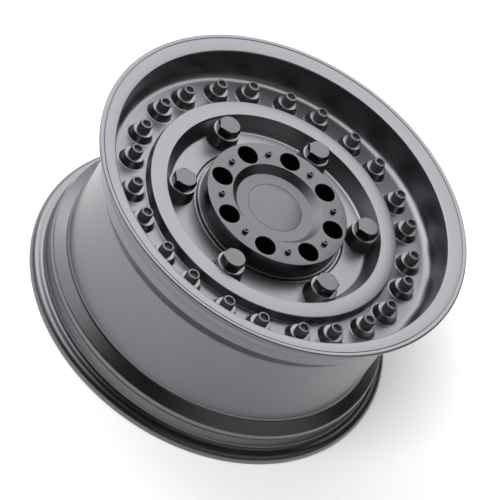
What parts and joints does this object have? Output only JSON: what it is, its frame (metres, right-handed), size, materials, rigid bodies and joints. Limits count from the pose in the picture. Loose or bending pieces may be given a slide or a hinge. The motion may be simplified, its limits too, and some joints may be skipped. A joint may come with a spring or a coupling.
{
  "type": "alloy wheel",
  "caption": "Cast aluminium truck wheel in satin gunmetal, with a deep dish, a ring of socket screws on raised bosses, a channel with hex bolts and a bolted hub cap with lug holes.",
  "frame": {"origin": "centre of the hub's mounting face, on the wheel axis", "axes": "+Z is the wheel axis, pointing out of the outboard face; +X passes through a lug hole and a hex bolt; +Y completes the right-handed set"},
  "size_m": [0.5489, 0.549, 0.2669],
  "materials": {
    "gunmetal_paint": "satin gunmetal powder paint on cast aluminium",
    "cap_paint": "satin gunmetal paint, a shade darker",
    "disc_paint": "satin gunmetal paint",
    "plated_steel": "dark plated, semi-gloss",
    "black_steel": "black oxide"
  },
  "bodies": {
    "root": {"wheel_casting": "gunmetal_paint", "hub_cap": "cap_paint", "emblem_disc": "disc_paint", "hex_bolts": "plated_steel", "perimeter_screws": "black_steel", "cap_screws": "black_steel"}
  },
  "joints": []
}
